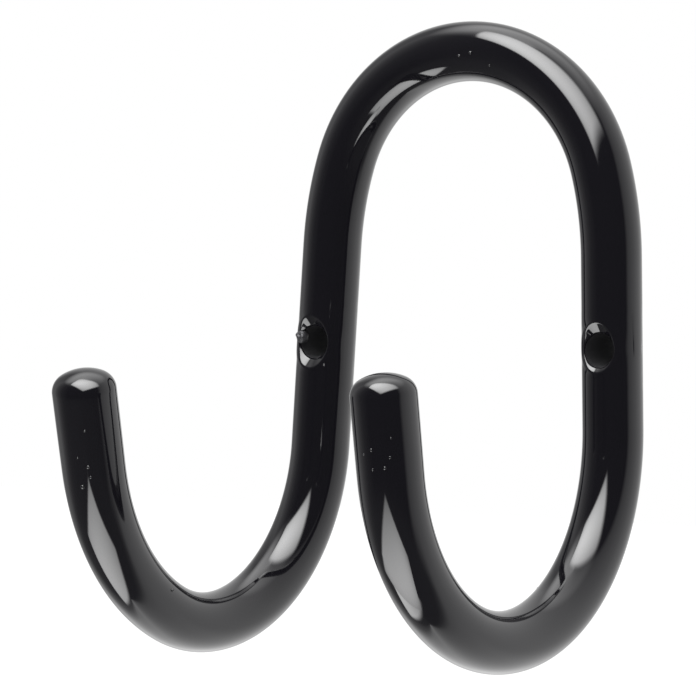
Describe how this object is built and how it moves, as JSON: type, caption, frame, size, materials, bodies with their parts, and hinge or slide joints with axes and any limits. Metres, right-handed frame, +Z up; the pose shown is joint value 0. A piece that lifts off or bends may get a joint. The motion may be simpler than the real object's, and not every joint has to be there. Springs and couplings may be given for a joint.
{
  "type": "double coat hook",
  "caption": "Wall-mounted double coat hook bent from one round steel rod: a tall loop whose legs are drilled for screws and turn forward and up as two hooks, coated glossy black.",
  "frame": {"origin": "midway between the two screw holes, on the wall plane that the back of the rod touches", "axes": "+Z up, +X to the right of someone facing the wall, +Y into the wall; the hooks come forward along -Y"},
  "size_m": [0.064, 0.0679, 0.0944],
  "materials": {
    "black_coating": "glossy black dipped plastic coating over a round steel rod, rounded and slightly thicker at the two ends, with small dust nibs"
  },
  "bodies": {
    "root": {"coat_hook": "black_coating"}
  },
  "joints": []
}
